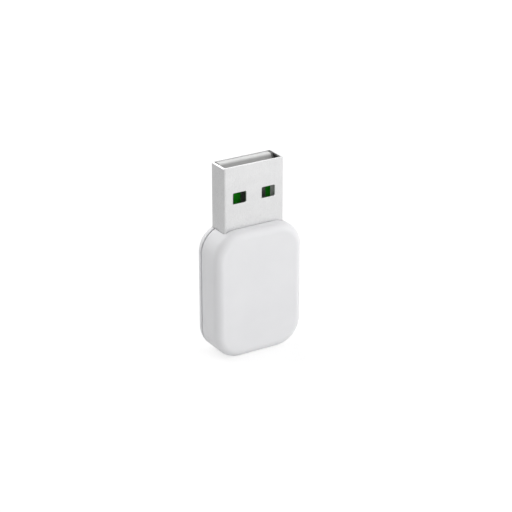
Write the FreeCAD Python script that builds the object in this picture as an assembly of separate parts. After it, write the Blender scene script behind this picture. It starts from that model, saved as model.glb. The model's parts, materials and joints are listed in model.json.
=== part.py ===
import FreeCAD, Part
import os

# Smart home radio stick: a white moulded body in two snapped covers, with a standard
# plug on its upper end and a radio board inside. Millimetres, +Z up, the front face
# towards -Y. The origin is the middle of the flat lower end that the stick stands on.

Vector = FreeCAD.Vector
X_AXIS = Vector(1, 0, 0)
Y_AXIS = Vector(0, 1, 0)
Z_AXIS = Vector(0, 0, 1)

# Body, a rounded rectangle seen from the front
body_width = 17.6
body_depth = 7.6
body_height = 23.9
corner_radius = 4.9
front_edge_radius = 1.5
rear_edge_radius = 1.7
front_wall = 1.2
side_wall = 1.2
rear_wall = 1.0
rib_root = 0.3

# Parting line between the two covers
rear_cover_depth = 1.9
parting_gap = 0.3
edge_break = 0.12
lip_width = 0.55
lip_reach = 0.8
cover_fit = 0.1

# Snap hooks of the rear cover
hook_width = 2.4
hook_thickness = 0.7
hook_spacing = 7.0
hook_length = 0.9
hook_barb = 0.3
hook_setback = 0.5

# Metal plug shell, folded from one sheet
plug_width = 12.0
plug_thickness = 4.5
plug_reach = 11.5
plug_offset = 0.6
plug_seat = 4.6
sheet = 0.35
bend_radius = 0.45
mouth_break = 0.08
plug_fit = 0.08
window_width = 2.6
window_height = 2.0
window_corner = 0.2
window_break = 0.1
window_drop = 4.85
window_spacing = 5.78
seam_gap = 0.06
dovetail_drop = 8.6
dovetail_neck = 0.9
dovetail_width = 1.5
dovetail_reach = 0.9
leg_width = 1.6
leg_length = 2.0
leg_taper = 0.4

# Keys of the covers that hold the shell against a pull
key_width = 2.8
key_height = 0.8
key_drop = 2.3
key_fit = 0.1

# Plastic carrier inside the shell
carrier_fit = 0.05
tongue_setback = 2.45
nose_drop = 0.12
nose_length = 1.5
nose_slope_depth = 0.6
nose_slope_length = 1.0
mouth_depth = 9.0
flange_thickness = 0.5
flange_depth = 1.9

# Contact strips on the tongue
contact_width = 0.9
contact_thickness = 0.15
inner_contact_x = 0.9
outer_contact_x = 3.25
contact_lead = 0.3
contact_stagger = 1.0
contact_tail = 0.5

# Radio board, with a tongue that runs up into the plug
board_thickness = 0.8
board_gap = 0.9
board_side_gap = 0.2
board_corner = 3.0
tongue_width = 9.5

# Posts, pins and pads that clamp the board
post_diameter = 2.0
pin_diameter = 0.9
pin_reach = 0.5
pin_fit = 0.05
post_inset_x = 1.7
post_inset_z = 2.5
pad_diameter = 2.2
bar_width = 3.0
bar_height = 0.8
saddle_height = 0.8
saddle_rise = 0.6
stop_width = 8.0
stop_height = 0.8
stop_clearance = 1.4

# Shield over the radio
shield_width = 9.2
shield_height = 7.0
shield_rise = 1.3
frame_sheet = 0.2
frame_flange = 0.6
frame_notch = 0.8
frame_notch_rise = 0.3
lid_sheet = 0.15
lid_skirt = 0.8
lid_fit = 0.02
lid_corner = 0.4

# Chips and small parts: length, width and height of each package
radio_size = 5.0
radio_rise = 0.85
radio_shift = 1.5
crystal_length = 2.0
crystal_width = 1.6
crystal_rise = 0.5
filter_length = 1.4
filter_width = 1.1
filter_rise = 0.6
under_lid_gap = 0.8
bridge_size = 3.0
bridge_rise = 0.75
leaded_length = 2.9
leaded_width = 1.6
leaded_rise = 1.1
lead_span = 2.8
lead_width = 0.4
lead_thickness = 0.15
lead_pitch = 0.95
row_gap = 0.3
antenna_length = 6.0
antenna_width = 2.0
antenna_rise = 1.1
antenna_margin = 0.5
chip_length = 1.0
chip_width = 0.5
chip_rise = 0.5
chip_cap = 0.25
chip_step = 0.03
chip_pitch = 1.7
matching_spacing = 1.4
capacitors_per_side = 3
pin_mark = 0.5
pin_mark_depth = 0.05

# Planes across the depth, front to rear
front_y = -body_depth / 2
rear_y = body_depth / 2
front_floor_y = front_y + front_wall
rear_floor_y = rear_y - rear_wall
rear_rim_y = rear_y - rear_cover_depth
rim_y = rear_rim_y - parting_gap
lip_end_y = rim_y + lip_reach
plug_front_y = plug_offset - plug_thickness / 2
plug_rear_y = plug_offset + plug_thickness / 2
board_front_y = plug_front_y + tongue_setback
board_rear_y = board_front_y + board_thickness
catch_y = rim_y - hook_setback
hook_tip_y = catch_y - hook_length

# Levels, from the lower end up
mouth_z = body_height + plug_reach
shell_bottom_z = body_height - plug_seat
flange_bottom_z = shell_bottom_z - flange_thickness
base_top_z = mouth_z - mouth_depth
nose_top_z = mouth_z - nose_drop
nose_bottom_z = nose_top_z - nose_length
key_z = body_height - key_drop
window_z = mouth_z - window_drop - window_height
board_bottom_z = side_wall + board_gap
board_step_z = shell_bottom_z - leg_length - board_side_gap
post_z = board_bottom_z + post_inset_z
upper_row_z = flange_bottom_z - row_gap - bridge_size / 2
antenna_z = board_bottom_z + antenna_margin + antenna_width / 2
matching_z = antenna_z + antenna_width / 2 + row_gap + chip_length / 2
shield_z = (upper_row_z - bridge_size / 2 + matching_z + chip_length / 2) / 2

# Half widths, from the middle out
inner_half = body_width / 2 - side_wall
hook_outer_x = inner_half - cover_fit
board_half = hook_outer_x - hook_thickness - board_side_gap
shell_inner_half = plug_width / 2 - sheet
carrier_half = shell_inner_half - carrier_fit
tongue_half = tongue_width / 2
post_x = board_half - post_inset_x
lid_half = shield_width / 2 + lid_fit + lid_sheet
column_x = (lid_half + board_half) / 2
leaded_x = (bridge_size / 2 + shell_inner_half) / 2


def block(low_x, high_x, low_y, high_y, low_z, high_z):
    """Box between two values on each axis."""
    size = (high_x - low_x, high_y - low_y, high_z - low_z)
    return Part.makeBox(*size, Vector(low_x, low_y, low_z))


def centred_block(x, half, low_y, high_y, low_z, high_z):
    """Box that is centred on x."""
    return block(x - half, x + half, low_y, high_y, low_z, high_z)


def rounded_block(low, high, axis, radius):
    """Box whose four edges along the axis are rounded."""
    size = high - low
    box = Part.makeBox(size.x, size.y, size.z, low)
    edges = [edge for edge in box.Edges if abs(edge.tangentAt(edge.FirstParameter).dot(axis)) > 0.9]
    across = [length for length, part in zip(size, axis) if part == 0]
    return box.makeFillet(min(radius, 0.49 * min(across)), edges)


def edges_in_plane(shape, axis, level):
    """Edges whose ends both lie at the level on the axis."""
    return [
        edge
        for edge in shape.Edges
        if all(abs(vertex.Point.dot(axis) - level) < 1e-6 for vertex in edge.Vertexes)
    ]


def round_rim(shape, axis, level, radius):
    """Round every edge of the rim at the level."""
    return shape.makeFillet(radius, edges_in_plane(shape, axis, level))


def break_rim(shape, axis, level, size):
    """Bevel every edge of the rim at the level."""
    return shape.makeChamfer(size, edges_in_plane(shape, axis, level))


def prism(points, direction):
    """Solid of a flat polygon moved along the direction."""
    return Part.Face(Part.makePolygon(points + points[:1])).extrude(direction)


def pin(x, z, diameter, low_y, high_y):
    """Round pin along the depth."""
    return Part.makeCylinder(diameter / 2, high_y - low_y, Vector(x, low_y, z), Y_AXIS)


def housing_block(inset, low_y, high_y):
    """Body outline, set in on all sides, between two planes of the depth."""
    half = body_width / 2 - inset
    low = Vector(-half, low_y, inset)
    high = Vector(half, high_y, body_height - inset)
    return rounded_block(low, high, Y_AXIS, corner_radius - inset)


def plug_block(offset, low_z, high_z):
    """Outline of the plug, grown by the offset on all sides, between two levels."""
    half = plug_width / 2 + offset
    low = Vector(-half, plug_front_y - offset, low_z)
    high = Vector(half, plug_rear_y + offset, high_z)
    return rounded_block(low, high, Z_AXIS, max(bend_radius + offset, mouth_break))


def plug_opening():
    """Room that both covers leave for the plug and its carrier."""
    return plug_block(plug_fit, flange_bottom_z, body_height + side_wall)


def hook_places():
    """Side and height of each snap hook."""
    middle = body_height / 2
    return [(side, middle + step * hook_spacing / 2) for side in (-1, 1) for step in (-1, 1)]


def hook(side, z):
    """Hook arm with its wedge-shaped barb."""
    outer = side * hook_outer_x
    inner = outer - side * hook_thickness
    root_y = rear_floor_y + rib_root
    low_z = z - hook_width / 2
    arm = block(min(outer, inner), max(outer, inner), hook_tip_y, root_y, low_z, low_z + hook_width)
    barb_points = [
        Vector(inner, hook_tip_y, low_z),
        Vector(outer, hook_tip_y, low_z),
        Vector(outer + side * hook_barb, catch_y, low_z),
        Vector(inner, catch_y, low_z),
    ]
    return arm.fuse(prism(barb_points, Z_AXIS * hook_width))


def hook_pocket(side, z):
    """Pocket in the side wall of the front cover that takes one barb."""
    outer = side * (hook_outer_x + hook_barb + cover_fit)
    inner = side * (inner_half - cover_fit)
    half = hook_width / 2 + cover_fit
    low_y = hook_tip_y - cover_fit
    return block(min(outer, inner), max(outer, inner), low_y, catch_y, z - half, z + half)


def shell_key(low_y, high_y, fit):
    """Key that goes through a hole of the shell, or the hole where fit is larger."""
    half_height = key_height / 2 + fit
    return centred_block(0, key_width / 2 + fit, low_y, high_y, key_z - half_height, key_z + half_height)


def make_front_cover():
    """Deep front cover with its lip, posts, saddle and stop for the plug."""
    cover = round_rim(housing_block(0, front_y, rim_y), Y_AXIS, front_y, front_edge_radius)
    cover = break_rim(cover, Y_AXIS, rim_y, edge_break)
    lip = housing_block(side_wall - lip_width, rim_y - rib_root, lip_end_y)
    cavity = housing_block(side_wall, front_floor_y, lip_end_y)
    cavity_round = max(front_edge_radius - front_wall, edge_break)
    cavity = round_rim(cavity, Y_AXIS, front_floor_y, cavity_round)
    cover = cover.fuse(lip).cut(cavity)

    root_y = front_floor_y - rib_root
    rib_half = inner_half + rib_root
    saddle_z = shell_bottom_z + saddle_rise
    saddle = centred_block(0, rib_half, root_y, rim_y, saddle_z, saddle_z + saddle_height)
    stop_y = board_front_y - stop_clearance
    stop = centred_block(0, stop_width / 2, root_y, stop_y, flange_bottom_z - stop_height, flange_bottom_z)
    cover = cover.fuse([saddle, stop]).cut(plug_opening())

    for side in (-1, 1):
        post = pin(side * post_x, post_z, post_diameter, root_y, board_front_y)
        tip = pin(side * post_x, post_z, pin_diameter, root_y, board_rear_y + pin_reach)
        cover = cover.fuse([post, tip])
    cover = cover.fuse(shell_key(root_y, plug_front_y + sheet - carrier_fit, 0))
    pockets = [hook_pocket(side, z) for side, z in hook_places()]
    return cover.cut(pockets).removeSplitter()


def make_rear_cover():
    """Shallow rear cover with its rebate, hooks and board pads."""
    rear_round = min(rear_edge_radius, rear_cover_depth - edge_break)
    cover = round_rim(housing_block(0, rear_rim_y, rear_y), Y_AXIS, rear_y, rear_round)
    rebate = housing_block(side_wall - lip_width - cover_fit, rear_rim_y, lip_end_y)
    cavity = housing_block(side_wall, rear_rim_y, rear_floor_y)
    cover = cover.cut([rebate, cavity, plug_opening()])

    root_y = rear_floor_y + rib_root
    for side in (-1, 1):
        pad = pin(side * post_x, post_z, pad_diameter, board_rear_y, root_y)
        socket = pin(side * post_x, post_z, pin_diameter + 2 * cover_fit, board_rear_y, root_y)
        cover = cover.fuse(pad).cut(socket)
    bar = centred_block(0, bar_width / 2, board_rear_y, root_y, upper_row_z, upper_row_z + bar_height)
    hooks = [hook(side, z) for side, z in hook_places()]
    key_root_y = max(root_y, (plug_rear_y + plug_fit + rear_y) / 2)
    key = shell_key(plug_rear_y - sheet + carrier_fit, key_root_y, 0)
    return cover.fuse([bar, key] + hooks).removeSplitter()


def window_edges(shell, x, y):
    """Edges of the window at x, in the front or rear face of the shell."""
    reach = window_width / 2 + sheet
    return [edge for edge in edges_in_plane(shell, Y_AXIS, y) if abs(edge.CenterOfMass.x - x) < reach]


def seam_slit():
    """Narrow slit down the rear of the shell, with one dovetail where the fold meets itself."""
    dovetail_z = mouth_z - dovetail_drop
    path = [
        Vector(0, 0, mouth_z + seam_gap),
        Vector(0, 0, dovetail_z + dovetail_neck / 2),
        Vector(-dovetail_reach, 0, dovetail_z + dovetail_width / 2),
        Vector(-dovetail_reach, 0, dovetail_z - dovetail_width / 2),
        Vector(0, 0, dovetail_z - dovetail_neck / 2),
        Vector(0, 0, shell_bottom_z - seam_gap),
    ]
    slits = []
    for start, end in zip(path, path[1:]):
        along = (end - start).normalize() * (seam_gap / 2)
        across = along.cross(Y_AXIS)
        lift = Vector(0, plug_rear_y - 1.5 * sheet, 0)
        corners = [start - along + across, end + along + across, end + along - across, start - along - across]
        slits.append(prism([corner + lift for corner in corners], Y_AXIS * (2 * sheet)))
    return slits


def make_usb_shell():
    """Folded sheet shell with four windows, two key holes, a dovetailed seam and two legs."""
    shell = break_rim(plug_block(0, shell_bottom_z, mouth_z), Z_AXIS, mouth_z, mouth_break)
    shell = shell.cut(plug_block(-sheet, shell_bottom_z - sheet, mouth_z + sheet))
    for side in (-1, 1):
        x = side * window_spacing / 2
        low = Vector(x - window_width / 2, plug_front_y - sheet, window_z)
        high = Vector(x + window_width / 2, plug_rear_y + sheet, window_z + window_height)
        shell = shell.cut(rounded_block(low, high, Y_AXIS, window_corner))
        for y in (plug_front_y, plug_rear_y):
            shell = shell.makeChamfer(window_break, window_edges(shell, x, y))
    key_hole = shell_key(plug_front_y - sheet, plug_rear_y + sheet, key_fit)
    shell = shell.cut([key_hole] + seam_slit())

    leg_y = (board_front_y + board_rear_y) / 2
    leg_bottom_z = shell_bottom_z - leg_length
    for side in (-1, 1):
        inner = side * shell_inner_half
        leg_points = [
            Vector(inner, leg_y - leg_width / 2, shell_bottom_z),
            Vector(inner, leg_y - leg_width / 2, leg_bottom_z + leg_taper),
            Vector(inner, leg_y - leg_width / 2 + leg_taper, leg_bottom_z),
            Vector(inner, leg_y + leg_width / 2 - leg_taper, leg_bottom_z),
            Vector(inner, leg_y + leg_width / 2, leg_bottom_z + leg_taper),
            Vector(inner, leg_y + leg_width / 2, shell_bottom_z),
        ]
        shell = shell.fuse(prism(leg_points, X_AXIS * (side * sheet)))
    return shell.removeSplitter()


def contact_places():
    """Name, place across the plug and upper end of each contact strip."""
    outer_top = nose_bottom_z - contact_lead
    inner_top = outer_top - contact_stagger
    return [
        ("contact_outer_left", -outer_contact_x, outer_top),
        ("contact_inner_left", -inner_contact_x, inner_top),
        ("contact_inner_right", inner_contact_x, inner_top),
        ("contact_outer_right", outer_contact_x, outer_top),
    ]


def make_plug_carrier():
    """Carrier with its sloped nose, the slot for the board's tongue and a foot flange."""
    carrier = plug_block(-sheet - carrier_fit, shell_bottom_z, nose_top_z)
    mouth = centred_block(0, plug_width / 2, plug_front_y, board_front_y, base_top_z, mouth_z)
    slot_half = tongue_half + carrier_fit
    slot = centred_block(0, slot_half, board_front_y, board_rear_y, shell_bottom_z, nose_bottom_z)
    carrier = carrier.cut([mouth, slot])

    slope_points = [
        Vector(-plug_width / 2, board_front_y, nose_top_z - nose_slope_length),
        Vector(-plug_width / 2, board_front_y, nose_top_z),
        Vector(-plug_width / 2, board_front_y + nose_slope_depth, nose_top_z),
    ]
    carrier = carrier.cut(prism(slope_points, X_AXIS * plug_width))
    for name, x, top_z in contact_places():
        half = contact_width / 2 + carrier_fit
        groove_y = board_front_y - contact_thickness - carrier_fit
        carrier = carrier.cut(centred_block(x, half, groove_y, board_front_y, shell_bottom_z, base_top_z))
    flange_y = plug_front_y + flange_depth
    flange = centred_block(0, plug_width / 2, plug_front_y, flange_y, flange_bottom_z, shell_bottom_z)
    return carrier.fuse(flange).removeSplitter()


def make_contact(x, top_z):
    """Flat contact strip with a sloped upper end."""
    face_y = board_front_y - contact_thickness
    tail_z = shell_bottom_z - contact_tail
    points = [
        Vector(x - contact_width / 2, board_front_y, tail_z),
        Vector(x - contact_width / 2, face_y, tail_z),
        Vector(x - contact_width / 2, face_y, top_z - 2 * contact_thickness),
        Vector(x - contact_width / 2, board_front_y, top_z),
    ]
    return prism(points, X_AXIS * contact_width)


def make_main_board():
    """Board with round lower corners, shoulders between the shell's legs and a tongue."""
    low = Vector(-board_half, board_front_y, board_bottom_z)
    high = Vector(board_half, board_rear_y, board_step_z)
    board = rounded_block(low, high, Y_AXIS, board_corner)
    upper = centred_block(0, board_half, board_front_y, board_rear_y, shield_z, board_step_z)
    shoulders = centred_block(0, carrier_half, board_front_y, board_rear_y, shield_z, shell_bottom_z)
    tongue = centred_block(0, tongue_half, board_front_y, board_rear_y, shield_z, nose_bottom_z)
    board = board.fuse([upper, shoulders, tongue])
    for side in (-1, 1):
        hole = pin_diameter + 2 * pin_fit
        board = board.cut(pin(side * post_x, post_z, hole, board_front_y, board_rear_y))
    return board.removeSplitter()


def make_shield_frame():
    """Folded frame with an inward flange and solder feet between its notches."""
    half_x = shield_width / 2
    half_z = shield_height / 2
    top_y = board_front_y - shield_rise
    frame = block(-half_x, half_x, top_y, board_front_y, shield_z - half_z, shield_z + half_z)
    inside = half_x - frame_sheet
    inside_z = half_z - frame_sheet
    room = block(-inside, inside, top_y + frame_sheet, board_front_y, shield_z - inside_z, shield_z + inside_z)
    mouth_x = inside - frame_flange
    mouth_half_z = inside_z - frame_flange
    mouth = block(-mouth_x, mouth_x, top_y, board_front_y, shield_z - mouth_half_z, shield_z + mouth_half_z)
    notch_y = board_front_y - frame_notch_rise
    notches = []
    for step in (-1, 1):
        x = step * shield_width / 4
        z = shield_z + step * shield_height / 4
        low_z = shield_z - half_z
        notches.append(centred_block(x, frame_notch / 2, notch_y, board_front_y, low_z, low_z + shield_height))
        low = z - frame_notch / 2
        notches.append(block(-half_x, half_x, notch_y, board_front_y, low, low + frame_notch))
    return frame.cut([room, mouth] + notches).removeSplitter()


def make_shield_lid():
    """Lid with a skirt on each side and open corners."""
    half_z = shield_height / 2 + lid_fit + lid_sheet
    top_y = board_front_y - shield_rise
    skirt_y = top_y + lid_skirt
    lid = block(-lid_half, lid_half, top_y - lid_sheet, skirt_y, shield_z - half_z, shield_z + half_z)
    room_x = lid_half - lid_sheet
    room_z = half_z - lid_sheet
    room = block(-room_x, room_x, top_y, skirt_y, shield_z - room_z, shield_z + room_z)
    lid = lid.cut(room)
    for side_x in (-1, 1):
        for side_z in (-1, 1):
            corner_z = shield_z + side_z * half_z
            slot_z = (corner_z - lid_corner, corner_z + lid_corner)
            lid = lid.cut(centred_block(side_x * lid_half, lid_corner, top_y, skirt_y, *slot_z))
    return lid.removeSplitter()


def make_flat_package(x, z, length, width, rise):
    """Flat chip with a round mark at its first pin."""
    top_y = board_front_y - rise
    package = block(x - length / 2, x + length / 2, top_y, board_front_y, z - width / 2, z + width / 2)
    mark_x = x - length / 2 + pin_mark
    mark_z = z + width / 2 - pin_mark
    return package.cut(pin(mark_x, mark_z, pin_mark, top_y, top_y + pin_mark_depth))


def make_crystal(x, z):
    """Crystal in a ceramic tray with a smaller metal cap."""
    tray_y = board_front_y - crystal_rise / 2
    cap_y = board_front_y - crystal_rise
    half_x = crystal_length / 2
    half_z = crystal_width / 2
    tray = block(x - half_x, x + half_x, tray_y, board_front_y, z - half_z, z + half_z)
    border = crystal_rise / 4
    low = Vector(x - half_x + border, cap_y, z - half_z + border)
    high = Vector(x + half_x - border, tray_y, z + half_z - border)
    return tray.fuse(rounded_block(low, high, Y_AXIS, border)).removeSplitter()


def lead(x, z, side):
    """Bent lead from the middle of the package down to the board."""
    package_x = x + side * leaded_width / 2
    knee_x = package_x + side * lead_thickness
    foot_x = x + side * lead_span / 2
    shank_x = knee_x + side * lead_thickness
    exit_y = board_front_y - leaded_rise / 2
    foot_y = board_front_y - lead_thickness
    low_z = z - lead_width / 2
    points = [
        Vector(x, exit_y, low_z),
        Vector(x, exit_y - lead_thickness, low_z),
        Vector(shank_x, exit_y - lead_thickness, low_z),
        Vector(shank_x, foot_y, low_z),
        Vector(foot_x, foot_y, low_z),
        Vector(foot_x, board_front_y, low_z),
        Vector(knee_x, board_front_y, low_z),
        Vector(knee_x, exit_y, low_z),
    ]
    return prism(points, Z_AXIS * lead_width)


def make_leaded_package(x, inner_leads, outer_leads):
    """Small package with bent leads on its two long sides, both counted along its length."""
    top_y = board_front_y - leaded_rise
    low_y = board_front_y - lead_thickness / 2
    half_z = leaded_length / 2
    package = centred_block(x, leaded_width / 2, top_y, low_y, upper_row_z - half_z, upper_row_z + half_z)
    inward = -1 if x > 0 else 1
    leads = [lead(x, upper_row_z + step * lead_pitch, inward) for step in inner_leads]
    leads += [lead(x, upper_row_z + step * lead_pitch, -inward) for step in outer_leads]
    return package.fuse(leads).removeSplitter()


def make_chip_part(x, z, length, width, rise, upright):
    """Ceramic part with a metal cap on each end, lying across or upright on the board."""
    along, across = (width, length) if upright else (length, width)
    top_y = board_front_y - rise
    part = block(x - along / 2, x + along / 2, top_y, board_front_y, z - across / 2, z + across / 2)
    body_half_x = along / 2 - (0 if upright else chip_cap)
    body_half_z = across / 2 - (chip_cap if upright else 0)
    waist_low = block(
        x - body_half_x, x + body_half_x, top_y, top_y + chip_step, z - body_half_z, z + body_half_z
    )
    return part.cut(waist_low)


def capacitor_places():
    """Number and place of each small capacitor, in a column on each side of the shield."""
    places = []
    for side in (-1, 1):
        for index in range(capacitors_per_side):
            step = index - (capacitors_per_side - 1) / 2
            places.append((len(places) + 1, side * column_x, shield_z + step * chip_pitch))
    return places


def make_parts():
    """Every separate piece of the stick, by name."""
    under_lid_x = radio_size / 2 - radio_shift + under_lid_gap + crystal_length / 2
    parts = {
        "front_cover": make_front_cover(),
        "rear_cover": make_rear_cover(),
        "usb_shell": make_usb_shell(),
        "plug_carrier": make_plug_carrier(),
        "main_board": make_main_board(),
        "shield_frame": make_shield_frame(),
        "shield_lid": make_shield_lid(),
        "radio_chip": make_flat_package(-radio_shift, shield_z, radio_size, radio_size, radio_rise),
        "radio_crystal": make_crystal(under_lid_x, shield_z + crystal_width),
        "radio_filter": make_flat_package(
            under_lid_x, shield_z - crystal_width, filter_length, filter_width, filter_rise
        ),
        "usb_bridge_chip": make_flat_package(0, upper_row_z, bridge_size, bridge_size, bridge_rise),
        "voltage_regulator": make_leaded_package(leaded_x, (-1, 0, 1), (-1, 1)),
        "surge_protector": make_leaded_package(-leaded_x, (-1, 0, 1), (-1, 0, 1)),
        "chip_antenna": make_chip_part(0, antenna_z, antenna_length, antenna_width, antenna_rise, False),
        "matching_inductor": make_chip_part(
            -matching_spacing / 2, matching_z, chip_length, chip_width, chip_rise, True
        ),
        "matching_capacitor": make_chip_part(
            matching_spacing / 2, matching_z, chip_length, chip_width, chip_rise, True
        ),
    }
    for name, x, top_z in contact_places():
        parts[name] = make_contact(x, top_z)
    for number, x, z in capacitor_places():
        parts[f"capacitor_{number}"] = make_chip_part(x, z, chip_length, chip_width, chip_rise, True)
    return parts


os.makedirs("parts", exist_ok=True)
for part_name, part_shape in make_parts().items():
    part_shape.exportStep(f"parts/{part_name}.step")
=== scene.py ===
import bpy
import json
from math import cos, radians, sin
from mathutils import Matrix, Vector


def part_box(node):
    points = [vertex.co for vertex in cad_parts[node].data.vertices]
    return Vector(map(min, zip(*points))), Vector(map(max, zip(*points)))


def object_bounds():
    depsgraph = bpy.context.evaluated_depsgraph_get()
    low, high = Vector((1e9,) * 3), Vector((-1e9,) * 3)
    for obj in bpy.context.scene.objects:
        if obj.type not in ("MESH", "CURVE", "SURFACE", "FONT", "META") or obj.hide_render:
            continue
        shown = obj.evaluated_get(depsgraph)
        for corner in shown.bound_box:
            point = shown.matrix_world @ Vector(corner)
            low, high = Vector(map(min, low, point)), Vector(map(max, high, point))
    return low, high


# Looks of the radio stick, built around its fixed CAD frame. Metres, +Z up, front face towards -Y.

MILLIMETRE = 0.001

# Camera, fitted to the photograph's outline of the plug and the body. The middle of the plug's
# mouth lies on MOUTH_PIXEL of the square image, MOUTH_DISTANCE away.
IMAGE_SIZE = 512
SENSOR_WIDTH = 36.0
FOCAL_PIXELS = 1685.0
CAMERA_AZIMUTH = radians(31.359)
CAMERA_ELEVATION = radians(23.612)
MOUTH_PIXEL = (247.44, 159.08)
MOUTH_DISTANCE = 0.29035
CAMERA_CLIP = (0.1 * MOUTH_DISTANCE, 10.0)

# Light of the room, and square lamps: the direction from the object's middle, and watts. Nothing
# mirrors the right lamp, because in the metal it would turn the plug's right side pure white.
WORLD_LEVEL = 0.2
LIGHT_DISTANCE = 0.8
LIGHT_SIZE = 0.9
LIGHTS = {
    "front_light": (Vector((-0.3, -0.9, 0.3)), 2.37),
    "front_right_light": (Vector((0.6, -0.75, 0.3)), 3.62),
    "right_light": (Vector((0.95, -0.1, 0.3)), 3.82),
    "back_light": (Vector((0.0, 0.95, 0.3)), 2.77),
    "back_left_light": (Vector((-0.45, 0.75, 0.5)), 1.0),
    "top_back_light": (Vector((-0.35, 0.45, 0.8)), 2.33),
}
UNMIRRORED_LIGHTS = ("right_light",)

# Floor. A shade is the share of light that it sends back: FLOOR_SHADE to light the object, and
# FLOOR_SEEN_SHADE where it is seen. There a lift, light of its own, brings it to white and leaves
# the object's shadow on it. Seen straight, the lift grows away from the object. Mirrored in the
# metal, it grows from the back left to the front right.
FLOOR_SIZE = 6.0
FLOOR_DROP = 0.00002
FLOOR_ROUGHNESS = 0.9
FLOOR_SHADE = 0.75
FLOOR_SEEN_SHADE = 0.35
FLOOR_LIFT = 0.7
FLOOR_FAR_LIFT = 1.0
FLOOR_LIFT_REACH = (0.08, 0.4)
FLOOR_MIRRORED_LIFTS = (0.294, 0.747)
FLOOR_MIRRORED_SPAN = 0.16
FLOOR_MIRRORED_DIRECTION = (0.7071, -0.7071, 0.0)

# Painted shade in the plug's mouth, which ends MOUTH_SHADE_REACH under it. The skin is a little
# thinner than the shell's sheet, and parts the sheet's inner side from its outer one. The inner side
# is painted dark from MOUTH_SHADE_DEPTH under the rim down. The carrier's nose is painted darkest
# NOSE_SHADE_DEPTH under its top, and at its two ends, NOSE_END_SHADE from the middle.
SHEET_SKIN = 0.33 * MILLIMETRE
MOUTH_SHADE_DEPTH = 0.45 * MILLIMETRE
MOUTH_SHADE_REACH = 2.5 * MILLIMETRE
NOSE_SHADE_START = 0.05 * MILLIMETRE
NOSE_SHADE_DEPTH = 0.37 * MILLIMETRE
NOSE_END_SHADE = (5.12 * MILLIMETRE, 5.25 * MILLIMETRE)

# Darkest and lightest colour of a speckled surface, as shares of its own colour
SPECKLE_SHARES = (0.9, 1.08)

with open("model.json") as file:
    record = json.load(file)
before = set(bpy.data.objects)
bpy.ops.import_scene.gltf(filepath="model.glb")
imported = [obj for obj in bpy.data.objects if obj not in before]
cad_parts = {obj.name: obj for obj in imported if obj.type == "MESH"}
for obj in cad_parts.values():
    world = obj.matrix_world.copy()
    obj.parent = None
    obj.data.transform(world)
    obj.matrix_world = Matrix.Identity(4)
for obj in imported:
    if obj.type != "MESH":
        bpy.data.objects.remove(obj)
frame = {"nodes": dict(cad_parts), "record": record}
cad_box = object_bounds()


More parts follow.
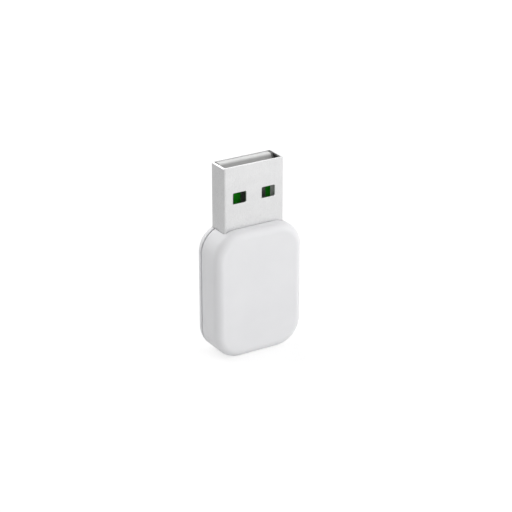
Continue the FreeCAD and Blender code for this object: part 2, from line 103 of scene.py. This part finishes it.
class Shader:
    """Material with one principled surface, and short calls for the detail on it."""

    def __init__(self, name, metallic=0.0, roughness=0.5):
        self.material = bpy.data.materials.new(name)
        self.material.use_nodes = True
        self.nodes = self.material.node_tree.nodes
        self.links = self.material.node_tree.links
        self.surface = self.nodes["Principled BSDF"]
        self.surface.inputs["Metallic"].default_value = metallic
        self.surface.inputs["Roughness"].default_value = roughness
        self.coordinates = self.nodes.new("ShaderNodeTexCoord").outputs["Object"]

    def calculated(self, operation, *values):
        """Result of one operation on values that are plain numbers or come from other nodes."""
        node = self.nodes.new("ShaderNodeMath")
        node.operation = operation
        for socket, value in zip(node.inputs, values):
            if isinstance(value, float):
                socket.default_value = value
            else:
                self.links.new(value, socket)
        return node.outputs["Value"]

    def product(self, first, second):
        return self.calculated("MULTIPLY", first, second)

    def total(self, first, second):
        return self.calculated("ADD", first, second)

    def stretched(self, scale):
        """Coordinates scaled by a different amount on each axis."""
        mapping = self.nodes.new("ShaderNodeMapping")
        mapping.inputs["Scale"].default_value = scale
        self.links.new(self.coordinates, mapping.inputs["Vector"])
        return mapping.outputs["Vector"]

    def axis(self, name):
        """One of the coordinates."""
        separate = self.nodes.new("ShaderNodeSeparateXYZ")
        self.links.new(self.coordinates, separate.inputs["Vector"])
        return separate.outputs[name]

    def off_middle(self, name):
        """Distance from the middle along one axis."""
        return self.calculated("ABSOLUTE", self.axis(name))

    def away(self):
        """Distance from the origin."""
        length = self.nodes.new("ShaderNodeVectorMath")
        length.operation = "LENGTH"
        self.links.new(self.coordinates, length.inputs[0])
        return length.outputs["Value"]

    def along(self, direction):
        """Distance from the origin along a direction."""
        dot = self.nodes.new("ShaderNodeVectorMath")
        dot.operation = "DOT_PRODUCT"
        dot.inputs[1].default_value = direction
        self.links.new(self.coordinates, dot.inputs[0])
        return dot.outputs["Value"]

    def within(self, low, high):
        """One inside the box between two corners, and zero outside it."""
        inside = 1.0
        for name, low_value, high_value in zip("XYZ", low, high):
            middle = (low_value + high_value) / 2
            half = (high_value - low_value) / 2
            between = self.calculated("COMPARE", self.axis(name), middle, half)
            inside = self.product(inside, between)
        return inside

    def noise(self, size, detail=2.0, vector=None):
        """Cloudy pattern whose patches are about size millimetres across."""
        noise = self.nodes.new("ShaderNodeTexNoise")
        noise.inputs["Scale"].default_value = 1.0 / (size * MILLIMETRE)
        noise.inputs["Detail"].default_value = detail
        self.links.new(vector or self.coordinates, noise.inputs["Vector"])
        return noise.outputs["Fac"]

    def ramp(self, factor, low, high, start=0.3, end=0.7):
        """Value from low to high as the factor goes from start to end. Most noise is in 0.3 to 0.7."""
        spread = self.nodes.new("ShaderNodeMapRange")
        spread.inputs["From Min"].default_value = start
        spread.inputs["From Max"].default_value = end
        spread.inputs["To Min"].default_value = low
        spread.inputs["To Max"].default_value = high
        self.links.new(factor, spread.inputs["Value"])
        return spread.outputs["Result"]

    def mixed(self, factor, low_colour, high_colour):
        """Colour between two colours, each plain or from other nodes."""
        mix = self.nodes.new("ShaderNodeMix")
        mix.data_type = "RGBA"
        for name, colour in (("A", low_colour), ("B", high_colour)):
            if isinstance(colour, tuple):
                mix.inputs[name].default_value = (*colour, 1.0)
            else:
                self.links.new(colour, mix.inputs[name])
        self.links.new(factor, mix.inputs["Factor"])
        return mix.outputs["Result"]

    def varied(self, pattern, low_colour, high_colour):
        """Colour that varies between two colours with the pattern."""
        return self.mixed(self.ramp(pattern, 0.0, 1.0), low_colour, high_colour)

    def paint(self, colour):
        """Base colour from other nodes."""
        self.links.new(colour, self.surface.inputs["Base Color"])

    def rough(self, pattern, low, high):
        """Roughness that varies between two values with the pattern."""
        self.links.new(self.ramp(pattern, low, high), self.surface.inputs["Roughness"])

    def bump(self, pattern, depth, strength):
        """Relief of the pattern, depth millimetres deep."""
        bump = self.nodes.new("ShaderNodeBump")
        bump.inputs["Strength"].default_value = strength
        bump.inputs["Distance"].default_value = depth * MILLIMETRE
        self.links.new(pattern, bump.inputs["Height"])
        self.links.new(bump.outputs["Normal"], self.surface.inputs["Normal"])


def white_plastic():
    """Satin moulded shell: a fine spark texture, with faint drift in colour and gloss."""
    shader = Shader("white_plastic")
    drift = shader.noise(6.0)
    shader.paint(shader.varied(drift, (0.787, 0.788, 0.803), (0.811, 0.812, 0.825)))
    shader.rough(shader.noise(1.2, 3.0), 0.38, 0.46)
    shader.bump(shader.noise(0.11), 0.004, 0.35)
    return shader.material


def painted_mouth_shade(shader):
    """Mask of painted shade: one on the inner side of the plug's sheet close to the mouth, fading out
    at the rim.
    """
    low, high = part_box("usb_shell")
    skin = Vector((SHEET_SKIN, SHEET_SKIN, -SHEET_SKIN))
    inner_low = Vector((low.x, low.y, high.z - MOUTH_SHADE_REACH)) + skin
    below_rim = shader.ramp(shader.axis("Z"), 1.0, 0.0, high.z - MOUTH_SHADE_DEPTH, high.z)
    return shader.product(shader.within(inner_low, high - skin), below_rim)


def plated_steel():
    """Nickel-plated sheet with rolling grain along its length, and painted shade on its inner side in
    the mouth.
    """
    shader = Shader("plated_steel", metallic=1.0)
    grain = shader.noise(0.05, 3.0, shader.stretched((1.0, 1.0, 0.04)))
    cloud = shader.noise(2.2)
    outer = shader.varied(cloud, (0.66, 0.66, 0.664), (0.685, 0.685, 0.688))
    # Painted shade: the sheet's inner side in the mouth is painted dark, the outer side keeps its own
    # colour.
    inner = shader.varied(cloud, (0.15, 0.15, 0.152), (0.17, 0.17, 0.172))
    shader.paint(shader.mixed(painted_mouth_shade(shader), outer, inner))
    shader.rough(grain, 0.24, 0.36)
    shader.bump(grain, 0.0006, 0.2)
    return shader.material


def grey_plastic():
    """Light grey carrier with a fine matt surface, and painted shade on its nose in the mouth."""
    shader = Shader("grey_plastic", roughness=0.5)
    nose_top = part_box("plug_carrier")[1].z
    # Painted shade on the nose: darkest NOSE_SHADE_DEPTH under its top and at its two ends, gone
    # MOUTH_SHADE_REACH down.
    darkest = nose_top - NOSE_SHADE_DEPTH
    height = shader.axis("Z")
    near_mouth = shader.ramp(height, 0.0, 1.0, nose_top - MOUTH_SHADE_REACH, darkest)
    below_top = shader.ramp(height, 1.0, 0.0, darkest, nose_top - NOSE_SHADE_START)
    painted_end_shade = shader.ramp(shader.off_middle("X"), 0.0, 1.0, *NOSE_END_SHADE)
    cloud = shader.noise(1.5)
    # Lit and painted-shade copies of one grey.
    light = shader.varied(cloud, (0.75, 0.75, 0.745), (0.79, 0.79, 0.785))
    painted_shade_colour = shader.varied(cloud, (0.39, 0.39, 0.386), (0.42, 0.42, 0.416))
    face = shader.mixed(shader.product(below_top, near_mouth), light, painted_shade_colour)
    # The nose's two ends are painted near black as shade.
    shader.paint(shader.mixed(shader.product(painted_end_shade, near_mouth), face, (0.13, 0.13, 0.13)))
    shader.bump(shader.noise(0.08), 0.003, 0.4)
    return shader.material


def green_board():
    """Solder mask over woven glass, with faint drift in colour and gloss."""
    shader = Shader("green_board")
    weave = shader.noise(0.25, 1.0, shader.stretched((1.0, 1.0, 0.5)))
    shader.paint(shader.varied(weave, (0.004, 0.26, 0.002), (0.008, 0.36, 0.004)))
    shader.rough(shader.noise(0.6), 0.25, 0.4)
    shader.bump(weave, 0.003, 0.4)
    return shader.material


def contact_metal():
    """Dark plated contact strips with wear along their length."""
    shader = Shader("contact_metal", metallic=1.0)
    wear = shader.noise(0.12, 2.0, shader.stretched((1.0, 1.0, 0.08)))
    shader.paint(shader.varied(wear, (0.2, 0.205, 0.195), (0.26, 0.265, 0.255)))
    shader.rough(wear, 0.3, 0.45)
    return shader.material


def speckled(name, colour, metallic, roughness, size, depth):
    """Even surface with speckle in its colour and relief, its size and depth in millimetres."""
    shader = Shader(name, metallic, roughness)
    speckle = shader.noise(size)
    darker, lighter = (tuple(share * part for part in colour) for share in SPECKLE_SHARES)
    shader.paint(shader.varied(speckle, darker, lighter))
    shader.bump(speckle, depth, 0.4)
    return shader.material


MATERIALS = {
    "white_plastic": white_plastic(),
    "plated_steel": plated_steel(),
    "grey_plastic": grey_plastic(),
    "green_board": green_board(),
    "contact_metal": contact_metal(),
    "tin_plate": speckled("tin_plate", (0.75, 0.75, 0.74), 1.0, 0.35, 0.4, 0.002),
    "chip_resin": speckled("chip_resin", (0.03, 0.03, 0.034), 0.0, 0.55, 0.08, 0.004),
    "crystal_can": speckled("crystal_can", (0.7, 0.66, 0.55), 1.0, 0.3, 0.3, 0.002),
    "antenna_ceramic": speckled("antenna_ceramic", (0.82, 0.82, 0.79), 0.0, 0.4, 0.15, 0.003),
    "capacitor_ceramic": speckled("capacitor_ceramic", (0.5, 0.38, 0.27), 0.0, 0.45, 0.1, 0.003),
}


def dress_nodes():
    """Give every CAD node the material of its slot in the record."""
    slots = {entry["node"]: entry["material_slot"] for entry in frame["record"]["subparts"]}
    for name, node in frame["nodes"].items():
        node.data.materials.clear()
        node.data.materials.append(MATERIALS[slots[name]])


def seen_ray(nodes, links):
    """One for rays that the camera sends, straight or by a reflection or through glass."""
    path = nodes.new("ShaderNodeLightPath")
    seen = path.outputs["Is Camera Ray"]
    for name in ("Is Glossy Ray", "Is Transmission Ray"):
        highest = nodes.new("ShaderNodeMath")
        highest.operation = "MAXIMUM"
        links.new(seen, highest.inputs[0])
        links.new(path.outputs[name], highest.inputs[1])
        seen = highest.outputs["Value"]
    return seen


def floor_material():
    """Pale surface with a light of its own for each kind of ray that sees it."""
    shader = Shader("floor", roughness=FLOOR_ROUGHNESS)
    seen = seen_ray(shader.nodes, shader.links)
    shader.paint(shader.mixed(seen, (FLOOR_SHADE,) * 3, (FLOOR_SEEN_SHADE,) * 3))

    half_span = FLOOR_MIRRORED_SPAN / 2
    across = shader.along(FLOOR_MIRRORED_DIRECTION)
    lifts = {
        "Is Camera Ray": shader.ramp(shader.away(), FLOOR_LIFT, FLOOR_FAR_LIFT, *FLOOR_LIFT_REACH),
        "Is Glossy Ray": shader.ramp(across, *FLOOR_MIRRORED_LIFTS, -half_span, half_span),
        "Is Transmission Ray": FLOOR_LIFT,
    }
    path = shader.nodes.new("ShaderNodeLightPath")
    lift = 0.0
    for ray, ray_lift in lifts.items():
        lift = shader.total(lift, shader.product(path.outputs[ray], ray_lift))
    glow = shader.nodes.new("ShaderNodeEmission")
    shader.links.new(lift, glow.inputs["Strength"])
    add = shader.nodes.new("ShaderNodeAddShader")
    shader.links.new(shader.surface.outputs["BSDF"], add.inputs[0])
    shader.links.new(glow.outputs["Emission"], add.inputs[1])
    shader.links.new(add.outputs["Shader"], shader.nodes["Material Output"].inputs["Surface"])
    return shader.material


def make_floor():
    """Square floor close under the object."""
    half = FLOOR_SIZE / 2
    corners = [(-half, -half), (half, -half), (half, half), (-half, half)]
    mesh = bpy.data.meshes.new("floor")
    mesh.from_pydata([(x, y, -FLOOR_DROP) for x, y in corners], [], [(0, 1, 2, 3)])
    mesh.materials.append(floor_material())
    floor = bpy.data.objects.new("floor", mesh)
    bpy.context.scene.collection.objects.link(floor)


def make_world():
    """White to every ray that the camera sends, and a soft even room to all else."""
    world = bpy.data.worlds.new("studio")
    bpy.context.scene.world = world
    world.use_nodes = True
    nodes = world.node_tree.nodes
    links = world.node_tree.links
    room = nodes["Background"]
    white = nodes.new("ShaderNodeBackground")
    for background in (room, white):
        background.inputs["Color"].default_value = (1.0, 1.0, 1.0, 1.0)
    room.inputs["Strength"].default_value = WORLD_LEVEL
    choose = nodes.new("ShaderNodeMixShader")
    links.new(seen_ray(nodes, links), choose.inputs["Fac"])
    links.new(room.outputs["Background"], choose.inputs[1])
    links.new(white.outputs["Background"], choose.inputs[2])
    links.new(choose.outputs["Shader"], nodes["World Output"].inputs["Surface"])


def make_lights():
    """Square soft lamps that look at the object's middle and that the camera doesn't see."""
    middle = (cad_box[0] + cad_box[1]) / 2
    for name, (direction, power) in LIGHTS.items():
        light = bpy.data.lights.new(name, "AREA")
        light.size = LIGHT_SIZE
        light.energy = power
        lamp = bpy.data.objects.new(name, light)
        bpy.context.scene.collection.objects.link(lamp)
        lamp.location = middle + direction.normalized() * LIGHT_DISTANCE
        lamp.rotation_mode = "QUATERNION"
        lamp.rotation_quaternion = (-direction).to_track_quat("-Z", "Y")
        lamp.visible_camera = False
        lamp.visible_glossy = name not in UNMIRRORED_LIGHTS


def make_camera():
    """Camera at the photograph's viewing angle, with the plug's mouth on its pixel."""
    forward = Vector(
        (
            sin(CAMERA_AZIMUTH) * cos(CAMERA_ELEVATION),
            cos(CAMERA_AZIMUTH) * cos(CAMERA_ELEVATION),
            -sin(CAMERA_ELEVATION),
        )
    )
    right = Vector((cos(CAMERA_AZIMUTH), -sin(CAMERA_AZIMUTH), 0.0))
    up = right.cross(forward)
    shell_low, shell_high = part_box("usb_shell")
    mouth = Vector((0.0, (shell_low.y + shell_high.y) / 2, shell_high.z))
    pixel_size = MOUTH_DISTANCE / FOCAL_PIXELS
    across = (MOUTH_PIXEL[0] - IMAGE_SIZE / 2) * pixel_size
    above = (IMAGE_SIZE / 2 - MOUTH_PIXEL[1]) * pixel_size

    camera_data = bpy.data.cameras.new("camera")
    camera_data.sensor_width = SENSOR_WIDTH
    camera_data.lens = FOCAL_PIXELS * SENSOR_WIDTH / IMAGE_SIZE
    camera_data.clip_start, camera_data.clip_end = CAMERA_CLIP
    camera = bpy.data.objects.new("camera", camera_data)
    bpy.context.scene.collection.objects.link(camera)
    turn = Matrix((right, up, -forward)).transposed().to_4x4()
    place = mouth - forward * MOUTH_DISTANCE - right * across - up * above
    camera.matrix_world = Matrix.Translation(place) @ turn
    bpy.context.scene.camera = camera


dress_nodes()
make_floor()
make_world()
make_lights()
make_camera()
bpy.context.scene.view_settings.view_transform = "Standard"
